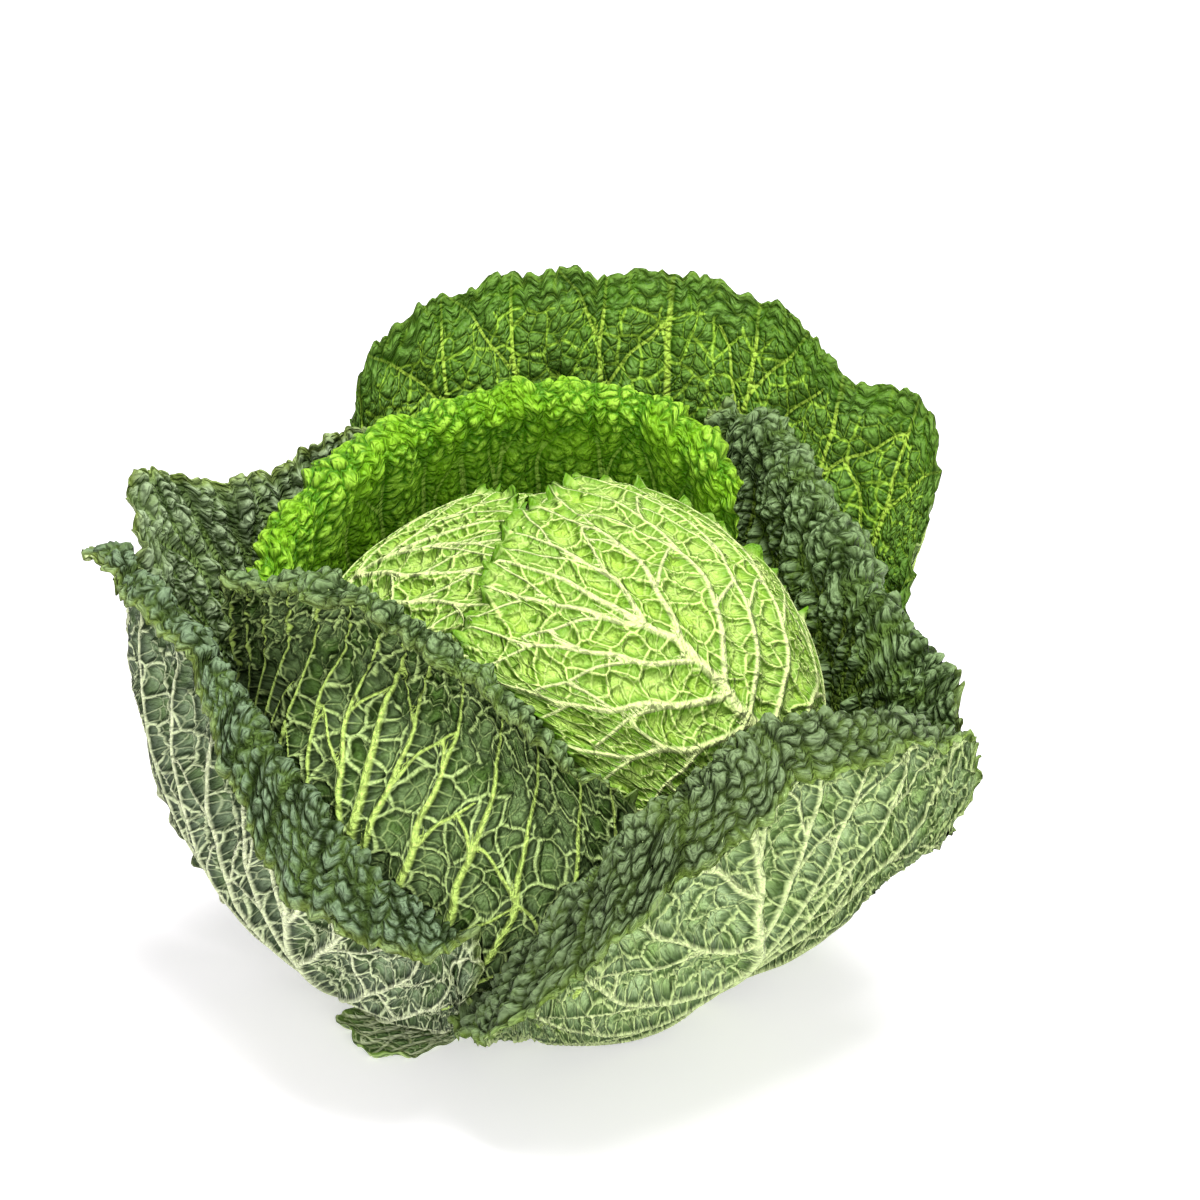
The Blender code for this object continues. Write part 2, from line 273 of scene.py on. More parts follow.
def ripple(x, seed, waves):
    """Sum of sines of x with the given wavelengths and heights, each with its own random phase."""
    draw = np.random.default_rng(seed)
    return sum(h * np.sin(2 * np.pi * x / w + draw.uniform(0, 6.28)) for w, h in waves)


def cell_hash(*coordinates):
    """A number from 0 to 1 for each cell, by Jenkins's mixing of the bits of its coordinates, as Voronoi
    nodes do: seven rounds of x = (x xor y) - (y turned left by some bits), in 32 bits."""
    bits = [(np.asarray(c) + 0.0).astype(np.float32).view(np.uint32).astype(np.uint64) for c in coordinates]
    mask = np.uint64(0xFFFFFFFF)
    start = np.uint64((0xDEADBEEF + (len(bits) << 2) + 13) & 0xFFFFFFFF)
    word = {"a": (start + bits[0]) & mask, "b": (start + bits[1]) & mask, "c": np.full_like(bits[0], start)}
    if len(bits) == 3:
        word["c"] = (word["c"] + bits[2]) & mask
    for x, y, k in (("c", "b", 14), ("a", "c", 11), ("b", "a", 25), ("c", "b", 16), ("a", "c", 4),
                    ("b", "a", 14), ("c", "b", 24)):
        turned = ((word[y] << np.uint64(k)) | (word[y] >> np.uint64(32 - k))) & mask
        word[x] = ((word[x] ^ word[y]) - turned) & mask
    return word["c"] / 4294967295.0


def cells(u, v, size):
    """Distance to the nearest cell border and to the cell's own middle, in cells, and its number from 0 to
    1. Places are read in single precision, as a UV map keeps them."""
    x, y = (k.astype(np.float32).astype(float) * (MAP_UNIT / size) for k in (u / MAP_UNIT, v / MAP_UNIT))
    cx, cy = np.floor(x), np.floor(y)
    found = []
    for i in (-1, 0, 1):
        for j in (-1, 0, 1):
            px, py = cx + i, cy + j
            hx, hy = cell_hash(px, py), cell_hash(px, py, np.ones_like(px))
            found.append((px + hx * NET_RANDOM - x, py + hy * NET_RANDOM - y, hx))
    vx, vy, own = (np.stack([f[k] for f in found]) for k in range(3))
    best = np.argmin(vx**2 + vy**2, axis=0)[None]
    bx, by, own = (np.take_along_axis(k, best, 0)[0] for k in (vx, vy, own))
    dx, dy = vx - bx, vy - by
    apart = np.hypot(dx, dy)
    halfway = ((vx + bx) / 2 * dx + (vy + by) / 2 * dy) / np.maximum(apart, 1e-6)
    border = np.where(apart > 1e-4, halfway, 9.0)
    return border.min(0), np.hypot(bx, by), own


def vein_lines(rim_angle, rim_reach, look, seed):
    """Centre lines and half widths of the veins in the flat leaf. The midrib runs straight out at angle 0;
    each lateral leaves it and bends forward to its own place on the rim; each fork leaves a lateral at 30 to
    50 degrees and ends on the first vein it meets. Every line is a quadratic curve with a little sway across
    it."""
    draw = np.random.default_rng(seed)
    width = look["rib"]

    def rim_at(angle):
        """Distance from the leaf's foot to its rim at that angle."""
        return np.interp(angle, rim_angle, rim_reach)

    def bent(start, control, end, wide, thin, count=33):
        """(1 - t)^2 start + 2t (1 - t) control + t^2 end, swayed across, and half widths from wide to thin."""
        t = np.linspace(0, 1, count)[:, None]
        line = (1 - t) ** 2 * start + 2 * t * (1 - t) * control + t**2 * end
        across = unit(np.stack([-(end - start)[1], (end - start)[0]]))
        length = np.linalg.norm(end - start)
        sway = ripple(t * length, int(draw.integers(1e6)), ((48, 1.2), (19, 0.5))) * np.sin(np.pi * t)
        return line + across * sway * min(1, length / 40), (wide + (thin - wide) * t[:, 0] ** 0.9)

    toward = np.array([0.0, 1.0])
    tip = toward * rim_at(0.0) * 0.985
    lines = [bent(toward * 2, tip * 0.5, tip, width, 0.2 * width + 0.25)]
    runs = []
    for sign in (-1, 1):
        limit = rim_angle[-1] if sign > 0 else -rim_angle[0]
        for k in range(look["laterals"]):
            part = (k + 0.75 + draw.uniform(-0.12, 0.12)) / (look["laterals"] + 0.3)
            angle = sign * limit * part
            leave = rim_at(0.0) * (0.06 + 0.62 * (1 - part) ** 1.5) + (3 if sign > 0 else 0)
            start = toward * leave
            end = rim_at(angle) * 0.985 * np.array([np.sin(angle), np.cos(angle)])
            run = np.linalg.norm(end - start)
            chord = np.arctan2(*(end - start))
            control = start + run * 0.5 * np.array([np.sin(chord + sign * 0.22), np.cos(chord + sign * 0.22)])
            wide = width * (0.42 + 0.2 * part) * draw.uniform(0.85, 1.15)
            lateral, half = bent(start, control, end, wide, 0.4)
            lines.append((lateral, half))
            runs.append((lateral, half, run, sign))
    for lateral, half, run, side in runs:
        for t in look["forks"]:
            i = int(31 * np.clip(t + draw.uniform(-0.06, 0.06), 0, 1))
            heading = np.arctan2(*(lateral[i + 1] - lateral[i])) + side * draw.uniform(0.55, 0.9)
            reach = draw.uniform(*look["fork_reach"])
            stop = lateral[i] + reach * np.array([np.sin(heading), np.cos(heading)])
            turned = heading - side * 0.25
            bend = lateral[i] + reach * 0.5 * np.array([np.sin(turned), np.cos(turned)])
            fork, thin = bent(lateral[i], bend, stop, min(0.6 * half[i], 0.8), 0.3, 21)
            others = np.concatenate([line for line, _ in lines if line is not lateral])
            far = np.linalg.norm(fork[4:, None] - others, axis=2)
            met = np.flatnonzero(far.min(1) < 2.2)
            if len(met):
                last = met[0] + 4
                fork, thin = fork[:last + 1].copy(), thin[:last + 1]
                fork[-1] = others[far[met[0]].argmin()]
            lines.append((fork, thin))
            side = -side
    return lines


def nearest_vein(u, v, lines):
    """For each point of the flat leaf: signed distance from the nearest vein, plain distance and its half
    width."""
    signed, plain, half = np.full(u.size, 99.0), np.full(u.size, 99.0), np.full(u.size, 0.3)
    at = np.stack([u.ravel(), v.ravel()], -1)
    for line, width in lines:
        a, step = line[:-1], np.diff(line, axis=0)
        near = np.flatnonzero(((at > line.min(0) - 15) & (at < line.max(0) + 15)).all(1))
        if not len(near):
            continue
        away = at[near][:, None] - a
        t = np.clip((away * step).sum(-1) / (step**2).sum(-1), 0, 1)
        away = away - t[..., None] * step
        far = np.hypot(away[..., 0], away[..., 1])
        best = np.argmin(far, axis=1)[:, None]
        far, t = np.take_along_axis(far, best, 1)[:, 0], np.take_along_axis(t, best, 1)[:, 0]
        best = best[:, 0]
        row = np.arange(len(near))
        side = np.sign(step[best, 0] * away[row, best, 1] - step[best, 1] * away[row, best, 0])
        wide = width[best] + (width[best + 1] - width[best]) * t
        closer = far - wide < plain[near] - half[near]
        won = near[closer]
        signed[won], plain[won], half[won] = (side * far)[closer], far[closer], wide[closer]
    return [k.reshape(u.shape) for k in (signed, plain, half)]


def rounded(x):
    """The height of a quarter circle: sqrt(x (2 - x)) from 0 at x = 0 to 1 at x = 1 and beyond."""
    x = np.clip(x, 0, 1)
    return np.sqrt(x * (2 - x))


def evenly(grid, rows, kept, crowd=0.0):
    """Each ray's points moved to steps along kept of its length, closer towards the rim by crowd, with the
    length at each point: x = (1 + crowd) k - crowd k^2. The rays are laid end to end, two units apart, and
    read together."""
    steps = np.linalg.norm(np.diff(grid, axis=1), axis=2)
    along = np.concatenate([np.zeros((len(grid), 1)), np.cumsum(steps, axis=1)], 1)
    total = along[:, -1:]
    lane = 2 * np.arange(len(grid))[:, None]
    step = np.linspace(0, 1, rows)[None]
    asked = ((1 + crowd) * step - crowd * step**2) * kept[:, None]
    points = np.stack([np.interp((asked + lane).ravel(), (along / total + lane).ravel(), grid[..., k].ravel())
                       for k in range(3)], -1)
    return points.reshape(len(grid), rows, 3), asked * total


def fan_angles(grid, along):
    """Angle from the first ray to each ray when the leaf is laid flat: between neighbours, the mean over
    several lengths of (distance between the two rays at that length) / length."""
    rays = len(grid)
    total = along[:, -1:]
    share = np.linspace(0.35, 0.98, 9)[None]
    lane = 2 * np.arange(rays)
    steps = []
    both = np.minimum(total[1:], total[:-1]) * share
    for first in (0, 1):
        which = slice(first, rays - 1 + first)
        asked = both / total[which] + lane[which, None]
        found = [np.interp(asked.ravel(), (along / total + lane[:, None]).ravel(), grid[..., k].ravel())
                 for k in range(3)]
        steps.append(np.stack(found, -1).reshape(rays - 1, 9, 3))
    apart = np.linalg.norm(steps[1] - steps[0], axis=2) / both
    return np.concatenate([[0], np.cumsum(apart.mean(1))])


def wandering(u, v, seed):
    """The flat coordinates, each moved by a slow and a quick sine of the other, so that cells read there
    differ in shape."""
    return (u + 1.1 * np.sin(v / 6.1 + seed) + 0.45 * np.sin(v / 1.9 + u / 3.1),
            v + 1.1 * np.sin(u / 6.7 + seed) + 0.45 * np.sin(u / 2.1 - v / 3.7))


def along_rim(rim, from_rim, look, seed):
    """The flat map that follows the rim: (length round the rim, distance in from it), each times its
    lip_scale."""
    around, inward = look["lip_scale"]
    return wandering(around * rim[:, None] + 60 * seed + 0 * from_rim, inward * from_rim, seed)


def ragged(rim, look, seed):
    """How far the rim is cut back at each ray: frill * (1.2 + four ripples + 1.3 * notches), with a notch
    wherever a border between two cells comes out at the rim."""
    around = look["lip_scale"][0] * rim[:, None] + 60 * seed
    u, v = wandering(around, np.full((len(rim), 1), RIM_READ), seed)
    notches = (1 - rounded(cells(u, v, NET_CELL)[0] / 0.3)
               + 0.9 * (1 - rounded(cells(u, v, BLISTER_CELL)[0] / 0.3)))[:, 0]
    ripples = ripple(rim, seed, ((47, 0.9), (23, 0.8), (9.1, 0.45), (4.7, 0.35)))
    return np.clip(look["frill"] * (1.2 + ripples + 1.3 * notches), 0, None)


def mixed_cells(maps, size, lip):
    """What cells gives in the leaf's map, turned by lip into what it gives in the rim's map."""
    return [a + (b - a) * lip for a, b in zip(cells(*maps["leaf"], size), cells(*maps["rim"], size))]


def blistered(look, maps, lip, near_rim, beside):
    """Height of the hollows between the net's veins and of the blisters in them: each a dome over its own
    cell, of random height, both flat beside a vein. Nearer the rim the blisters grow and the net's hollows
    shrink."""
    net, _, own = mixed_cells(maps, NET_CELL, lip)
    blister, off, small = mixed_cells(maps, BLISTER_CELL, lip)
    clear = smooth(0, 3.5, beside)
    clear = clear + (1 - clear) * look["hide"] * lip
    dome = rounded(net / 0.4)
    bubble = smooth(0, 0.42, blister) ** 0.8 * (1 - 0.5 * np.clip(off / 0.7, 0, 1) ** 2)
    calm = look["calm"] + (1 - look["calm"]) * near_rim
    return clear * (look["net"] * (0.7 + 0.6 * own) * dome * (1 - 0.55 * near_rim)
                    + look["blister"] * (0.6 + 0.8 * small) * bubble * calm)


def ruffled(look, seed, rim, along, to_rim, side_rim, growth):
    """Height of the slow waves towards the rim, the crinkle in its last 5 mm, and the ripple along both
    sides."""
    wave = ripple(rim, seed + 5, look["waves"])[:, None] * smooth(look["wave_zone"], 0, to_rim)
    wave = wave + (ripple(rim, seed + 9, look["crinkle"])[:, None] + look["raised"]) * smooth(5, 0, to_rim)
    return wave + growth * ripple(along, seed + 11, look["side"]) * smooth(9, 0, side_rim)


def inner_normals(grid):
    """Unit normals on the side that looks at the head's middle, and whether the grid's own order gives that
    side, judged by the lower middle of the leaf."""
    rays, rows = grid.shape[:2]
    normal = unit(np.cross(np.gradient(grid, axis=0), np.gradient(grid, axis=1)))
    part = np.s_[rays // 4:-rays // 4, rows // 4:rows // 2]
    inward = ((HEAD_MIDDLE - grid[part]) * normal[part]).sum(-1).mean() > 0
    return normal if inward else -normal, inward


def two_skins(rays, rows, inward):
    """Quads of the upper skin, of the lower one and of the wall that joins them round the outline."""
    at = np.arange(rays * rows).reshape(rays, rows)
    top = np.stack([at[:-1, :-1], at[1:, :-1], at[1:, 1:], at[:-1, 1:]], -1).reshape(-1, 4)
    loop = np.concatenate([at[:, 0], at[-1, 1:], at[-2::-1, -1], at[0, -2:0:-1]])
    after = np.roll(loop, -1)
    wall = np.stack([after, loop, loop + at.size, after + at.size], -1)
    if not inward:
        top, wall = top[:, ::-1], wall[:, ::-1]
    return np.concatenate([top, top[:, ::-1] + at.size, wall])


def columns(*values):
    """The values of a grid of points side by side, one row to a point."""
    return np.stack([k.ravel() for k in values], -1)


def leaf_piece(name, node, material, grid, look, seed, rows):
    """A blistered leaf about a smooth grid of rays. The veins are worked out in a flat fan (length along the
    ray, angle from the rim's spacing), the cells in a flat map (distance along the row, length along the
    ray) and near the rim in one that follows the rim. Both skins move along the normal by quilting between
    the ribs + hollows and blisters - sink + ruffle; the lower one also stands out by the veins."""
    rays = len(grid)
    length = np.linalg.norm(np.diff(grid, axis=1), axis=2).sum(1)
    rim = np.concatenate([[0], np.cumsum(np.linalg.norm(np.diff(grid[:, -1], axis=0), axis=1))])
    angle = fan_angles(*evenly(grid, 60, np.ones(rays)))
    angle = angle - np.interp(look["mid"], np.linspace(-1, 1, rays), angle)
    grid, along = evenly(grid, rows, 1 - ragged(rim, look, seed) / length, look["crowd"])
    full = along[:, -1:]
    to_rim = full - along
    side_rim = np.minimum(rim, rim[-1] - rim)[:, None] * (along / np.maximum(full, 1))
    edge = np.minimum(to_rim, side_rim + 1.0)
    lip = 1 - smooth(0.6 * look["lip_zone"], look["lip_zone"], to_rim)
    near_rim = 1 - smooth(0.5 * look["lip_zone"], look["lip_zone"], to_rim)
    growth = smooth(0.0, 0.3, along / full)
    apart = np.linalg.norm(np.diff(grid, axis=0), axis=2)
    aside = np.concatenate([np.zeros((1, rows)), np.cumsum(apart, axis=0)])
    maps = {"leaf": wandering(aside - aside[rays // 2], along, seed),
            "rim": along_rim(rim, to_rim, look, seed)}
    lines = vein_lines(angle, length, look, seed)
    signed, plain, half = nearest_vein(along * np.sin(angle)[:, None], along * np.cos(angle)[:, None], lines)
    quilt = 1 - np.exp(-((plain / 7) ** 2))
    lift = growth * (look["quilt"] * quilt + blistered(look, maps, lip, near_rim, plain - half))
    height = lift - look["sink"] + ruffled(look, seed, rim, along, to_rim, side_rim, growth)
    normal, inward = inner_normals(grid)
    thick = look["thick"] * (0.35 + 0.65 * smooth(0, 6, edge))
    ridge = np.sqrt(np.clip(1 - (plain / np.maximum(half * 1.15, 0.2)) ** 2, 0, 1)) * half * look["proud"]
    ridge = ridge * smooth(0, 4, edge)
    upper = grid + normal * (height + thick / 2)[..., None]
    lower = grid + normal * (height - thick / 2 - ridge)[..., None]
    upper[..., 2] = np.maximum(upper[..., 2], UPPER_LEAST)
    lower[..., 2] = np.maximum(lower[..., 2], LOWER_LEAST)
    place = [columns(edge, lip, np.full_like(edge, under)) for under in (0, 1)]
    vectors = {"vein": np.concatenate([columns(signed, plain, half)] * 2), "place": np.concatenate(place)}
    maps = {key: np.concatenate([columns(*value)] * 2) for key, value in maps.items()}
    points = np.concatenate([upper.reshape(-1, 3), lower.reshape(-1, 3)])
    return mesh_piece(name, points, two_skins(rays, rows, inward), material, node, vectors, maps)


def leaf_pattern():
    """Node group that reads a leaf's maps: Rib from the signed distance to the nearest rib, Net and Fine
    from the borders of the same cells that shape the blade, Painted crown light for painted highlight
    on the crowns of the blisters and painted shade in the furrows round them, Painted groove shade for
    shade painted at the foot of every vein and along the borders of the cells, Rim, Lip and Under for
    where on the leaf a point is, Mottle and Fleck for slow and quick change of tone, and Relief for the
    bump, in millimetres."""
    group = bpy.data.node_groups.new("leaf_pattern", "ShaderNodeTree")
    for name in ("Rib", "Net", "Fine", "Top", "Painted groove shade", "Rim", "Lip", "Under", "Mottle", "Fleck", "Relief"):
        group.interface.new_socket(name, in_out="OUTPUT", socket_type="NodeSocketFloat")
    group.interface.new_socket("Net width", in_out="INPUT", socket_type="NodeSocketFloat").default_value = 0.4
    given, out = group.nodes.new("NodeGroupInput"), group.nodes.new("NodeGroupOutput")
    vein = wired(group, "ShaderNodeAttribute", {"attribute_name": "vein"})
    vein = wired(group, "ShaderNodeSeparateXYZ", i0=vein.outputs["Vector"])
    signed, plain, half = vein.outputs[0], vein.outputs[1], vein.outputs[2]
    place = wired(group, "ShaderNodeAttribute", {"attribute_name": "place"})
    place = wired(group, "ShaderNodeSeparateXYZ", i0=place.outputs["Vector"])
    maps = [wired(group, "ShaderNodeUVMap", {"uv_map": name}).outputs[0] for name in ("leaf", "rim")]
    to_border = {"voronoi_dimensions": "2D", "feature": "DISTANCE_TO_EDGE"}
    fine_cell = BLISTER_CELL / 2.3
    borders = []
    for size in (NET_CELL, BLISTER_CELL, fine_cell):
        pair = [wired(group, "ShaderNodeTexVoronoi", to_border, Vector=uv, Scale=MAP_UNIT / size,
                      Randomness=NET_RANDOM).outputs["Distance"] for uv in maps]
        mixed = wired(group, "ShaderNodeMix", i0=place.outputs[1], i2=pair[0], i3=pair[1]).outputs[0]
        borders.append(maths(group, "MULTIPLY", mixed, size))
    across = maths(group, "ABSOLUTE", signed)
    body = maths(group, "DIVIDE", across, maths(group, "ADD", half, 0.25))
    masked = maths(group, "LESS_THAN", plain, maths(group, "ADD", half, 0.8))
    rib = maths(group, "MULTIPLY", eased(group, body, 0.4, 1.15, 1.0, 0.0), masked)
    beside = maths(group, "SUBTRACT", plain, half)
    from_net = maths(group, "DIVIDE", borders[0], given.outputs["Net width"])
    net = eased(group, from_net, 0.3, 1.5, 1.0, 0.0)
    fine = eased(group, borders[1], 0.05, 0.42, 1.0, 0.0)
    # Painted highlight on the crown of each blister, and painted shade in the furrows beside veins and the
    # net's borders.
    crown = maths(group, "MULTIPLY", eased(group, borders[1], 0.1, 1.0), eased(group, beside, 0.0, 2.2))
    top = maths(group, "MULTIPLY", crown, eased(group, borders[0], 0.0, 1.6, 0.35, 1.0))
    # Painted shade: darkest at the foot of every vein, fading over about 3 mm, and along the borders of the
    # net's and the blisters' cells.
    painted_groove_shade = maths(group, "MAXIMUM", eased(group, beside, 0.3, 3.4, 1.0, 0.0),
                   eased(group, borders[0], 0.6, 2.9, 0.85, 0.0))
    painted_groove_shade = maths(group, "MAXIMUM", painted_groove_shade, eased(group, borders[1], 0.1, 1.1, 0.4, 0.0))
    mottle, grain, lumps = (
        wired(group, "ShaderNodeTexNoise", {"noise_dimensions": "2D"}, Vector=maps[0], Scale=scale,
              Detail=detail).outputs[0] for scale, detail in ((0.6, 4.0), (9.0, 3.0), (3.2, 2.0)))
    raised = maths(group, "DIVIDE", across, maths(group, "ADD", maths(group, "MULTIPLY", half, 1.3), 0.25))
    raised = maths(group, "MULTIPLY", eased(group, raised, 0.0, 1.0, 0.55, 0.0), masked)
    for low, high, tall in ((borders[0], 2.2, 1.0), (borders[1], 1.1, 0.45), (borders[2], 0.5, 0.12)):
        raised = maths(group, "ADD", raised, eased(group, low, 0.0, high, tall, 0.0))
    raised = maths(group, "ADD", raised, maths(group, "MULTIPLY", lumps, 1.7))
    domes = maths(group, "ADD", eased(group, borders[1], 0.0, 1.2, 0.0, 0.6),
                  eased(group, borders[2], 0.0, 0.8, 0.0, 0.42))
    relief = wired(group, "ShaderNodeMix", i0=place.outputs[2], i2=domes, i3=raised).outputs[0]
    relief = maths(group, "ADD", relief, maths(group, "MULTIPLY", grain, 0.12))
    for name, value in (("Rib", rib), ("Net", net), ("Fine", fine), ("Top", top), ("Painted groove shade", painted_groove_shade),
                        ("Mottle", mottle), ("Fleck", grain),
                        ("Rim", eased(group, place.outputs[0], 0.0, 4.5, 1.0, 0.0)),
                        ("Lip", place.outputs[1]), ("Under", place.outputs[2]), ("Relief", relief)):
        group.links.new(value, out.inputs[name])
    return group


LEAF_PATTERN = leaf_pattern()


def leaf_material(name, upper, under, veins, rim, bloom_and_sheen=None, roughness=0.5, net=0.4,
                  shares=(0.8, 0.5, 0.1), bump=1.0):
    """Upper skin from furrow to crown colour by the blisters, which paints shade in the furrows and a
    highlight on the crowns; under skin from cell to groove colour, the groove colour being painted shade
    at the foot of every vein and along the net; both crossed by ribs and net in the colours of veins
    (rib and net of the upper skin, then of the under one). bloom_and_sheen greys the crowns: partly the
    leaf's own wax, partly a painted sheen; rim tints the last few millimetres; shares are how much rib
    and net show on the upper skin and what part of that is left on its lip; bump scales the relief."""
    made = bpy.data.materials.new(name)
    made.use_nodes = True
    tree = made.node_tree
    shader = tree.nodes["Principled BSDF"]
    read = tree.nodes.new("ShaderNodeGroup")
    read.node_tree = LEAF_PATTERN
    read.inputs["Net width"].default_value = net
    got = read.outputs
    slow = eased(tree, got["Mottle"], 0.42, 0.66)
    # Painted shade in the furrows (first upper colour) and painted highlight on the crowns (second).
    top = blended(tree, got["Top"], upper[0], upper[1])
    top = blended(tree, maths(tree, "MULTIPLY", slow, 0.6), top, upper[2])
    # Grey over the crowns: partly the leaf's own wax, partly a painted sheen.
    if bloom_and_sheen:
        top = blended(tree, maths(tree, "MULTIPLY", got["Top"], bloom_and_sheen[1]), top, bloom_and_sheen[0])
    shown = eased(tree, got["Lip"], 0.0, 1.0, 1.0, shares[2])
    for line, share, color in (("Fine", shares[1] * 0.5, veins[1]), ("Net", shares[1], veins[1]),
                               ("Rib", shares[0], veins[0])):
        seen = maths(tree, "MULTIPLY", maths(tree, "MULTIPLY", got[line], share), shown)
        top = blended(tree, seen, top, color)
    low = blended(tree, maths(tree, "MULTIPLY", slow, 0.7), under[0], under[2])
    # Painted shade: the under skin's second colour is laid in at the foot of the veins and along the net.
    low = blended(tree, maths(tree, "MULTIPLY", got["Painted groove shade"], 0.85), low, under[1])
    for line, share, color in (("Fine", 0.4, veins[3]), ("Net", 0.85, veins[3]), ("Rib", 0.95, veins[2])):
        low = blended(tree, maths(tree, "MULTIPLY", got[line], share), low, color)
    color = blended(tree, got["Under"], top, low)
    color = blended(tree, maths(tree, "MULTIPLY", got["Rim"], rim[1]), color, rim[0])
    tone = eased(tree, got["Fleck"], 0.3, 0.7, 0.42, 0.58)
    grey = wired(tree, "ShaderNodeCombineColor", i0=tone, i1=tone, i2=tone).outputs[0]
    color = blended(tree, 0.5, color, grey, "OVERLAY")
    tree.links.new(color, shader.inputs["Base Color"])
    gloss = maths(tree, "ADD", roughness - 0.08, maths(tree, "MULTIPLY", got["Mottle"], 0.16))
    tree.links.new(gloss, shader.inputs["Roughness"])
    raised = wired(tree, "ShaderNodeBump", Height=got["Relief"], Strength=1.0, Distance=bump * MM)
    tree.links.new(raised.outputs[0], shader.inputs["Normal"])
    shader.inputs["Specular IOR Level"].default_value = 0.15
    return made


def head_leaf(pole, start, gap, edge, rays, rows):
    """Smooth grid of a leaf pressed on the head: great arcs from the pole to each point of the edge."""
    edge = unit(curve_through(edge, np.linspace(-1, 1, rays)))
    pole = unit(np.array(pole))
    angle = np.arccos(edge @ pole)[:, None, None]
    s = np.linspace(start, 1, rows)[None, :, None]
    d = unit(np.sin((1 - s) * angle) * pole + np.sin(s * angle) * edge[:, None])
    return HEAD_MIDDLE + d * (head_radius(d)[..., None] + gap)


HEAD_LEAVES = {
    "head_leaf_back": dict(pole=(0.3, 0.9, -0.3), start=0.1, gap=-5.6, mid=0.1, edge=[
        (-0.93, 0.3, 0.1), (-0.8, 0.3, 0.5), (-0.35, 0.3, 0.88), (0.1, 0.0, 1), (0.45, -0.05, 0.88),
        (0.85, 0.0, 0.5), (0.97, -0.05, 0.1), (0.95, 0.1, -0.25)]),
    "head_leaf_left": dict(pole=(-0.94, 0.1, -0.1), start=0.1, gap=-3.1, mid=0.1, edge=[
        (-0.6, 0.75, -0.1), (-0.6, 0.75, 0.3), (-0.45, 0.65, 0.6), (-0.17, 0.45, 0.88), (-0.07, 0, 1),
        (-0.02, -0.3, 0.95), (-0.03, -0.6, 0.8), (-0.1, -0.85, 0.5), (-0.3, -0.93, 0.1)]),
    "head_leaf_right": dict(pole=(0.89, -0.45, -0.15), start=0.06, gap=-0.7, mid=-0.1, edge=[
        (0.35, -0.9, -0.1), (0.2, -0.95, 0.2), (-0.16, -0.81, 0.56), (-0.34, -0.65, 0.68),
        (-0.33, -0.53, 0.78), (-0.24, -0.3, 0.92), (-0.18, -0.12, 0.98), (-0.05, 0.09, 0.99),
        (0.16, 0.42, 0.89), (0.39, 0.39, 0.83), (0.57, 0.35, 0.74), (0.75, 0.3, 0.55), (0.9, 0.2, 0.3)]),
}
# How a leaf is finished. rib is the midrib's half width and proud how far a vein stands out for its own;
# quilt, net and blister are heights; calm is the share of the blisters away from the rim, and hide how far
# the lip's cover its veins. lip_scale is how densely cells lie round the rim and in from it; waves, crinkle
# and side are pairs of wavelength and height, and raised is the height of the rim itself.
HEAD_LOOK = dict(mid=0.0, rib=1.9, laterals=7, forks=(0.3, 0.5, 0.7), fork_reach=(24, 40), proud=0.6,
                 quilt=0.8, net=1.8, blister=0.8, calm=0.7, hide=0.0, sink=0.0, thick=0.6, crowd=0.35,
                 lip_zone=12, lip_scale=(0.8, 0.8), frill=1.5, raised=-0.2, wave_zone=16,
                 waves=((31, 0.6), (17, 0.45)), crinkle=((8.3, 2.1), (5.1, 1.3)),
                 side=((13, 0.5), (7.7, 0.3)))
# For the head leaves, the first upper colour is painted shade in the furrows, the second painted highlight on
# the crowns, and the second under colour painted shade beside the veins.
pale_leaf = leaf_material(
    "pale_head_leaf", upper=((110, 150, 40), (150, 185, 65), (135, 172, 50)),
    under=((162, 192, 92), (82, 130, 16), (146, 182, 56)),
    veins=((208, 222, 148), (198, 216, 130)) * 2,
    rim=((84, 132, 14), 0.9), roughness=0.45, net=0.36, bump=1.25)
HEAD_RAYS, HEAD_ROWS = 230, 150
for seed, (name, leaf) in enumerate(HEAD_LEAVES.items(), start=40):
    grid = head_leaf(leaf["pole"], leaf["start"], leaf["gap"], leaf["edge"], HEAD_RAYS, HEAD_ROWS)
    look = dict(HEAD_LOOK, mid=leaf["mid"])
    leaf_piece(name + "_blade", name, pale_leaf, grid, look, seed, HEAD_ROWS)


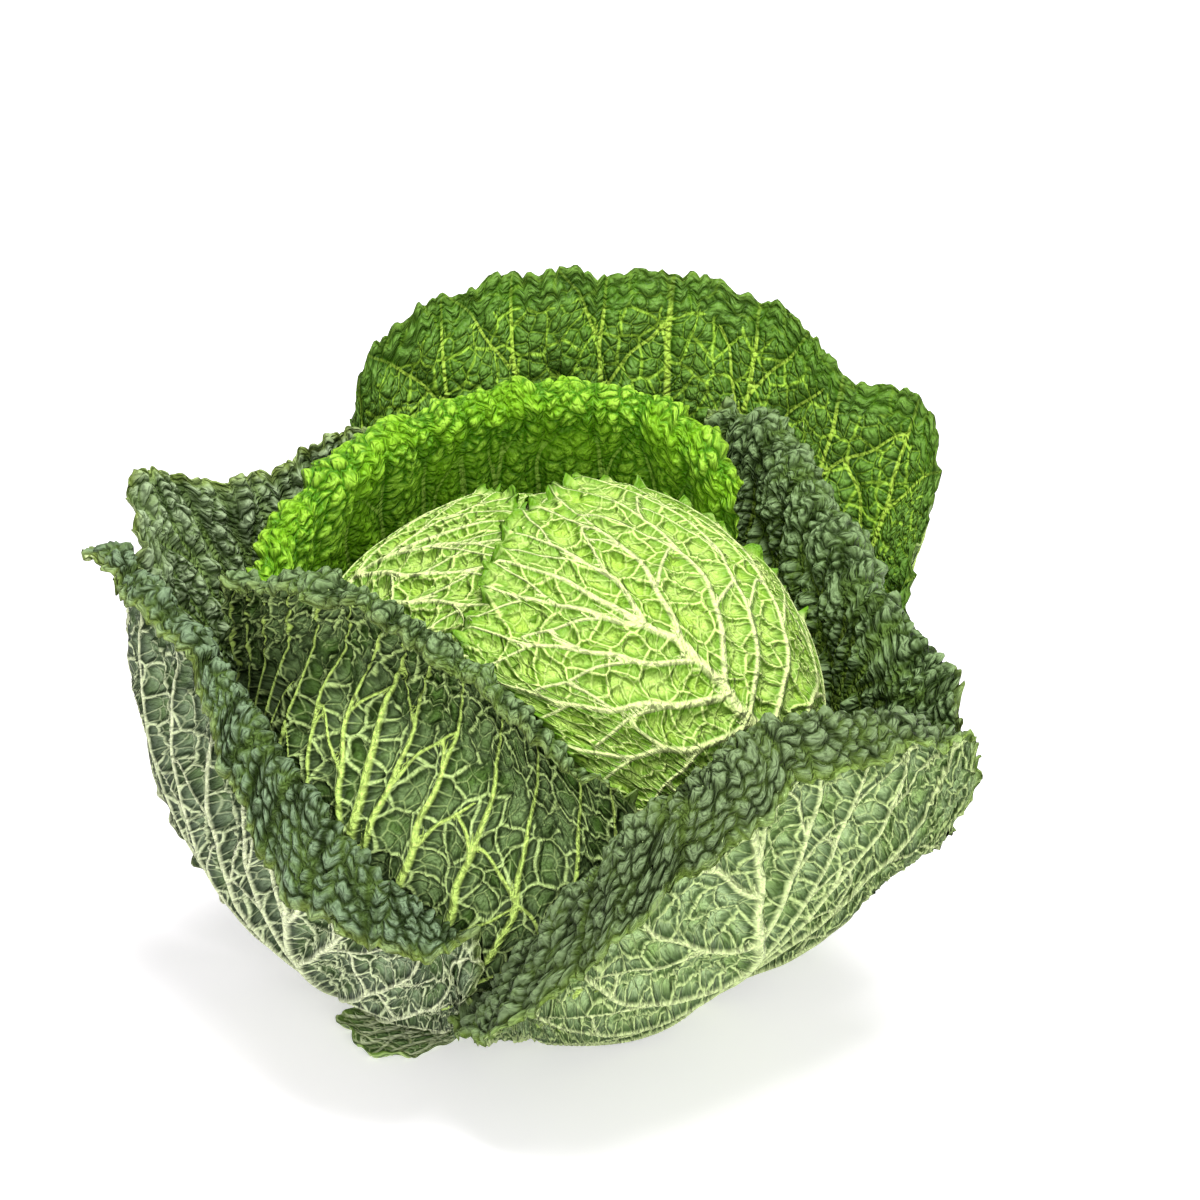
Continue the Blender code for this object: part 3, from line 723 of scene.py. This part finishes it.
def heart():
    """The ball under the head leaves: rings from foot to crown, each point moved in by the net's hollows and
    out by veins that run up like meridians. The flat map is (width round the ring, length up) on a ball of
    map_radius."""
    rings, spokes = 150, 300
    map_radius, inset = 78, 7.6
    polar = np.linspace(0.02, np.pi - 0.02, rings)[:, None]
    turn = np.linspace(0, 2 * np.pi, spokes, endpoint=False)[None]
    across = unit(np.cross(HEAD_AXIS, (0, 1, 0)))
    other = np.cross(HEAD_AXIS, across)
    d = (np.sin(polar) * np.cos(turn))[..., None] * across + (np.sin(polar) * np.sin(turn))[..., None] * other
    d = d - np.cos(polar)[..., None] * HEAD_AXIS
    u = (turn - np.pi) * np.sin(polar) * map_radius + 0 * polar
    v = polar * map_radius + 0 * turn
    lines = []
    t = np.linspace(0.1, 0.9, 30)
    for k, middle in enumerate(np.arange(-5, 6) * 36.0 * np.pi / 180):
        around = (middle + 0.05 * np.sin(9 * t + k)) * np.sin(np.pi * t) * map_radius
        lines.append((np.stack([around, np.pi * t * map_radius], -1), 2.2 - 1.7 * t))
    signed, plain, half = nearest_vein(u, v, lines)
    net = cells(u, v, NET_CELL)[0]
    seam = smooth(0, 0.12, np.minimum(turn, 2 * np.pi - turn))
    seam = seam * smooth(0, 0.2, np.minimum(polar, np.pi - polar))
    lift = seam * smooth(0, 5, plain - half) * 1.2 * np.clip(net / 0.36, 0, 1)
    ridge = np.sqrt(np.clip(1 - (plain / half) ** 2, 0, 1)) * half * 0.3 * seam
    points = HEAD_MIDDLE + d * (head_radius(d) - inset - lift + ridge)[..., None]
    vectors = {"vein": columns(signed, plain, half), "place": np.tile((9.0, 0.0, 1.0), (u.size, 1))}
    return mesh_piece("packed_heart", points.reshape(-1, 3), ring_faces(rings, spokes), pale_leaf, "heart",
                      vectors, {"leaf": columns(u, v), "rim": columns(u, v)})


heart()


# The loose leaves stand open round the head. Each leaves the stem, bends at its knee and rises to a rim that
# is ragged and ruffled; on most the lip rolls outwards and shows the dark, deeply blistered upper skin,
# while the blade below shows its paler underside with thick raised ribs.
LOOSE_LEAVES = {
    "wrapper_leaf_back": dict(
        root=(-6, 14, 11), knee=(-8, 80, 24), spread=50, bow=15, reach=0.45,
        lip=7, gap=4, floor=6, rim=[
            (-104, -8, 127, 0, 80, 1), (-93, 12, 140, -10, 130, 3), (-79, 28, 149, -20, 155, 4),
            (-62, 42, 156, -25, 160, 4), (-41, 52, 160, -25, 160, 4), (-19, 57, 162, -25, 160, 4),
            (4, 56, 160, -25, 160, 4), (23, 50, 152, -15, 130, 3), (38, 40, 139, 0, 80, 1)]),
    "outer_leaf_front": dict(
        root=(-10, -13, 10), knee=(-60, -52, -4), spread=20, bow=25, reach=0.5,
        lip=5, gap=4, floor=4, rim=[
            (-116, -2, 128, 0, 60, 2), (-102, -30, 141, 0, 120, 4), (-84, -50, 151, -5, 150, 4),
            (-64, -67, 150, -10, 150, 4), (-52, -78, 145, -15, 150, 4), (-36, -88, 137, -15, 150, 4),
            (-18, -97, 119, -15, 150, 3), (-2, -99, 107, -10, 120, 2), (12, -97, 96, -5, 40, 0)]),
    "outer_leaf_right": dict(
        root=(18, 6, 9), knee=(58, 20, 6), spread=36, bow=14, reach=0.45,
        lip=8, gap=5, floor=4, rim=[
            (30, 80, 149, 10, 110, 4), (47, 66, 144, 10, 160, 6), (59, 46, 131, 15, 180, 6),
            (71, 20, 119, 20, 180, 6), (81, 0, 111, 25, 150, 6), (94, -16, 100, 40, 80, 4),
            (103, -28, 94, 60, 20, 0), (95, -38, 85, 50, 0, 0), (76, -38, 73, 30, 0, 0)]),
    "outer_leaf_back_left": dict(
        root=(-13, 15, 10), knee=(-82, 50, 6), spread=45, bow=10, reach=0.4,
        lip=6, gap=8, floor=3, rim=[
            (-128, -6, 116, 10, 0, 0), (-147, 20, 147, 35, 0, 0), (-144, 34, 157, 35, 0, 0),
            (-126, 44, 151, 25, 0, 0), (-108, 54, 147, 25, 0, 0), (-96, 62, 152, 25, 0, 0),
            (-82, 70, 157, 20, 0, 0), (-70, 76, 149, 15, 0, 0)]),
    "outer_leaf_back": dict(
        root=(10, 18, 3), knee=(28, 104, -4), spread=60, bow=25, reach=0.42,
        lip=6, gap=14, floor=2, rim=[
            (-82, 84, 149, 15, 0, 0), (-79, 90, 166, 15, 0, 0), (-64, 99, 182, 20, 0, 0),
            (-44, 106, 190, 20, 0, 0), (-6, 114, 192, 20, 0, 0), (29, 117, 188, 20, 0, 0),
            (56, 112, 180, 20, 0, 0), (73, 104, 163, 25, 0, 0), (99, 94, 155, 30, 0, 0),
            (103, 76, 129, 35, 0, 0), (92, 56, 101, 35, 0, 0)]),
    "outer_leaf_left": dict(
        root=(-17, -7, 5), knee=(-142, -22, -17), spread=34, bow=0, reach=0.3,
        lip=5, gap=8, floor=5, rim=[
            (-140, 8, 119, 0, 50, 0), (-146, 3, 136, 4, 110, 4), (-143, -7, 142, 4, 125, 7),
            (-134, -22, 137, 2, 125, 6), (-123, -36, 130, 0, 125, 5), (-110, -50, 120, 0, 140, 9),
            (-96, -66, 105, 0, 150, 18), (-83, -80, 93, 0, 155, 24), (-68, -90, 81, 0, 150, 22),
            (-54, -94, 69, 0, 130, 16), (-42, -86, 51, 0, 70, 6), (-42, -68, 31, 0, 0, 0),
            (-58, -50, 19, 0, 0, 0)]),
    "outer_leaf_front_right": dict(
        root=(16, -9, 5), knee=(40, -24, -2), spread=8, bow=0, reach=0.4,
        lip=7, gap=8, floor=0.7, rim=[
            (-46, -51, 8, 60, 0, 0), (-31, -68, 22, 40, 80, 6), (-22, -92, 50, 10, 140, 26),
            (-4, -108, 82, 0, 155, 30), (10, -112, 104, 0, 160, 24), (24, -110, 117, 0, 160, 18),
            (40, -98, 125, 0, 150, 15), (66, -78, 119, 5, 130, 13), (92, -57, 108, 15, 90, 9),
            (109, -46, 88, 35, 20, 0), (92, -36, 60, 50, 0, 0), (66, -28, 37, 60, 0, 0)]),
    "basal_leaf_left": dict(
        root=(-18, -9, 2.5), knee=(-46, -24, -3), spread=12, bow=0, reach=0.35,
        lip=6, gap=12, floor=0.7, rim=[
            (-62, -17, 3, 70, 0, 0), (-76, -26, 4, 60, 0, 0), (-84, -37, 5, 50, 0, 0),
            (-80, -48, 5, 40, 0, 0), (-71, -58, 4, 30, 0, 0), (-61, -58, 3, 40, 0, 0)]),
    "basal_leaf_right": dict(
        root=(22, 4, 2), knee=(44, 16, -2), spread=12, bow=0, reach=0.35,
        lip=6, gap=12, floor=0.7, rim=[
            (48, 0, 14, 60, 0, 0), (60, 10, 20, 60, 0, 0), (71, 22, 24, 60, 0, 0), (73, 36, 20, 60, 0, 0),
            (64, 46, 12, 60, 0, 0)]),
}


def soft_floor(value, least, width):
    """value, eased so that it never falls under least: least + width * ln(1 + e^((value - least) /
    width))."""
    return least + width * np.logaddexp(0, (value - least) / width)


def loose_leaf(leaf, rays):
    """Smooth grid of a loose leaf. Cubic arcs run from the root, by the knee, to the rim, whose tangent
    leans out by the rim's fourth number; the lip is an arc of the leaf's lip radius through the fifth; then
    a straight hang of the sixth. Points are pushed out from the head to the leaf's gap and up from the
    ground to its floor."""
    rows, lip_rows, hang_rows = 110, 24, 14
    t = np.linspace(-1, 1, rays)
    rim = curve_through(leaf["rim"], t)
    end, lean = rim[:, :3], np.radians(rim[:, 3])
    turn, hang = np.radians(np.maximum(rim[:, 4], 0)), np.maximum(rim[:, 5], 0)
    root, knee = np.array(leaf["root"], float), np.array(leaf["knee"], float)
    out = unit((knee - root) * (1, 1, 0))
    side = np.array([-out[1], out[0], 0])
    side = side if side @ (end[-1] - end[0]) > 0 else -side
    first = root + 10 * side * t[:, None]
    bend = knee + leaf["spread"] * side * t[:, None] - leaf["bow"] * out * t[:, None] ** 2 - first
    reach = 0.8 * np.linalg.norm(end - first, axis=1) / np.linalg.norm(bend, axis=1)
    bend = first + bend * np.minimum(1, reach)[:, None]
    level = unit((end - HEAD_MIDDLE) * (1, 1, 0))
    tangent = level * np.sin(lean)[:, None] + np.array([0, 0, 1]) * np.cos(lean)[:, None]
    last = end - tangent * leaf["reach"] * np.linalg.norm(end - bend, axis=1)[:, None]
    s = np.linspace(0, 1, rows)[None, :, None]
    grid = ((1 - s) ** 3 * first[:, None] + 3 * (1 - s) ** 2 * s * bend[:, None]
            + 3 * (1 - s) * s**2 * last[:, None] + s**3 * end[:, None])
    if turn.max() > 0:
        away = unit(np.cross(tangent, unit(np.gradient(end, axis=0))))
        away = away if np.median((away * (end - HEAD_MIDDLE)).sum(1)) > 0 else -away
        a = turn[:, None, None] * np.linspace(0, 1, lip_rows + 1)[None, 1:, None]
        lip = end[:, None] + leaf["lip"] * (np.sin(a) * tangent[:, None] + (1 - np.cos(a)) * away[:, None])
        a, far = turn[:, None, None], hang[:, None, None] * np.linspace(0, 1, hang_rows + 1)[None, 1:, None]
        tail = lip[:, -1:] + far * (np.cos(a) * tangent[:, None] + np.sin(a) * away[:, None])
        grid = np.concatenate([grid, lip, tail], axis=1)
    from_head = grid - HEAD_MIDDLE
    d = unit(from_head)
    clear = head_radius(d)[..., None] + leaf["gap"]
    grid = HEAD_MIDDLE + d * soft_floor(np.linalg.norm(from_head, axis=-1, keepdims=True), clear, 2.0)
    grid[..., 2] = soft_floor(grid[..., 2], leaf["floor"], 0.5)
    return grid


LOOSE_LOOK = dict(mid=0.0, rib=2.5, laterals=6, forks=(0.25, 0.45, 0.65), fork_reach=(26, 44), proud=1.1,
                  quilt=2.0, net=3.0, blister=2.3, calm=0.45, hide=0.9, sink=2.0, thick=0.7, crowd=0.3,
                  lip_zone=42, lip_scale=(0.8, 1.2), frill=1.1, raised=0.0, wave_zone=34,
                  waves=((52, 1.6), (29, 1.0), (17, 0.6)), crinkle=((11, 1.0), (6.3, 0.6)),
                  side=((13, 1.5), (7.7, 0.9)))
# In the loose leaves' colours below, the first upper colour is painted shade in the furrows, the second
# painted highlight on the crowns, and the second under colour painted shade beside the veins.
GREEN_UNDER = dict(under=((118, 144, 88), (8, 24, 0), (70, 108, 20)),
                   veins=((156, 184, 58), (134, 172, 46), (194, 224, 112), (192, 218, 136)))
green_leaf = leaf_material(
    "green_leaf", upper=((28, 62, 0), (82, 124, 32), (64, 108, 8)), rim=((96, 126, 44), 0.4),
    bloom_and_sheen=((126, 142, 92), 0.15), shares=(0.95, 0.85, 0.25), net=0.5,
    under=GREEN_UNDER["under"], veins=((156, 188, 66), (146, 186, 58), *GREEN_UNDER["veins"][2:]))
front_leaf = leaf_material(
    "front_leaf", upper=((32, 50, 14), (108, 134, 70), (92, 120, 50)), rim=((130, 150, 70), 0.4),
    bloom_and_sheen=((120, 138, 116), 0.35), shares=(0.2, 0.15, 0.1), net=0.5, bump=1.7, **GREEN_UNDER)
blue_leaf = leaf_material(
    "blue_green_leaf", upper=((32, 48, 14), (104, 128, 72), (92, 118, 50)),
    under=((138, 158, 122), (20, 36, 16), (106, 136, 72)),
    veins=((130, 160, 70), (104, 134, 66), (232, 242, 194), (222, 236, 184)),
    bloom_and_sheen=((116, 134, 122), 0.45), rim=((140, 160, 74), 0.5), net=0.5, shares=(0.25, 0.2, 0.1),
    bump=1.6)
# Painted light: this saturated light green stands in for light shining through the leaf and bounced onto it by
# its neighbours.
painted_backlit_leaf = leaf_material(
    "painted_backlit_leaf", upper=((60, 114, 0), (144, 190, 56), (116, 168, 18)),
    under=((110, 158, 48), (66, 112, 18), (92, 150, 36)),
    veins=((170, 205, 90), (130, 180, 50), (205, 225, 140), (165, 200, 100)),
    rim=((120, 150, 30), 0.4), roughness=0.48, bump=1.3)
# Painted light: lighter than its neighbours to make up for the shade it lies in under the left leaf.
low_leaf_painted_lighter = leaf_material(
    "low_leaf_painted_lighter", upper=((80, 112, 58), (144, 170, 112), (124, 152, 78)),
    under=((124, 148, 98), (44, 66, 24), (92, 124, 50)),
    veins=((240, 250, 204), (232, 245, 188), (200, 220, 152), (180, 206, 134)),
    rim=((120, 156, 50), 0.5), shares=(1.0, 1.0, 1.0), net=0.6, bump=0.6)
# Painted light: a lighter copy of the blue-green leaf, to make up for the shade it stands in at the back.
back_left_leaf_painted_lighter = leaf_material(
    "back_left_leaf_painted_lighter", upper=((50, 68, 30), (142, 162, 112), (124, 148, 88)),
    under=((124, 148, 98), (44, 66, 24), (92, 124, 50)),
    veins=((130, 160, 70), (104, 134, 66), (200, 220, 152), (180, 206, 134)),
    bloom_and_sheen=((136, 150, 130), 0.4), rim=((140, 160, 74), 0.5), shares=(0.25, 0.2, 0.1), bump=1.3)
right_leaf = leaf_material(
    "front_right_leaf", upper=((32, 46, 12), (100, 124, 62), (90, 114, 44)),
    under=((168, 194, 138), (40, 68, 20), (138, 172, 88)),
    veins=((130, 160, 70), (104, 134, 66), (216, 234, 164), (204, 226, 150)),
    bloom_and_sheen=((122, 136, 116), 0.38), rim=((130, 158, 66), 0.55), net=0.5, shares=(0.25, 0.2, 0.1),
    bump=1.6)
SKINS = {
    "wrapper_leaf_back": painted_backlit_leaf, "outer_leaf_front": front_leaf, "outer_leaf_right": front_leaf,
    "outer_leaf_back_left": back_left_leaf_painted_lighter, "outer_leaf_back": green_leaf, "outer_leaf_left": blue_leaf,
    "outer_leaf_front_right": right_leaf, "basal_leaf_left": low_leaf_painted_lighter, "basal_leaf_right": painted_backlit_leaf,
}
BASAL = dict(rib=1.2, laterals=3, quilt=0.6, net=0.8, blister=0.8, sink=0.0, lip_zone=14, frill=0.8,
             wave_zone=14, waves=((30, 0.8), (17, 0.6)))
LOOKS = {
    "wrapper_leaf_back": dict(net=1.4, blister=1.5, lip_scale=(0.85, 1.1), frill=0.9,
                              waves=((60, 1.0), (24, 0.8)), crinkle=((11, 0.5), (6.3, 0.4))),
    "outer_leaf_front": dict(rib=3.0, laterals=7, forks=(0.35, 0.6), fork_reach=(22, 36), proud=0.8,
                             quilt=2.4, blister=2.0, sink=1.4, lip_scale=(1.05, 1.35), frill=1.0,
                             waves=((45, 1.0), (22, 0.8))),
    "outer_leaf_back": dict(mid=-0.1, rib=3.0, laterals=4, forks=(0.2, 0.35, 0.5, 0.65, 0.8),
                            fork_reach=(30, 56), net=1.7, blister=1.7, calm=0.8, hide=0.2, lip_zone=13,
                            frill=1.2, waves=((80, 2.4), (44, 1.8), (21, 0.8)),
                            crinkle=((11, 0.6), (6.3, 0.5))),
    "outer_leaf_back_left": dict(lip_zone=24, hide=0.2),
    "basal_leaf_left": dict(BASAL, rib=2.8, laterals=4, net=1.2, blister=0.4, hide=0.0, lip_zone=3, frill=0.4,
                            crinkle=((11, 0.4), (6.3, 0.2)), side=((13, 0.4), (7.7, 0.2))),
    "basal_leaf_right": BASAL,
}
for seed, (name, leaf) in enumerate(LOOSE_LEAVES.items(), start=70):
    rays, rows = (90, 70) if name.startswith("basal") else (264, 184)
    look = dict(LOOSE_LOOK, **LOOKS.get(name, {}))
    leaf_piece(name + "_blade", name, SKINS[name], loose_leaf(leaf, rays), look, seed,
               rows)
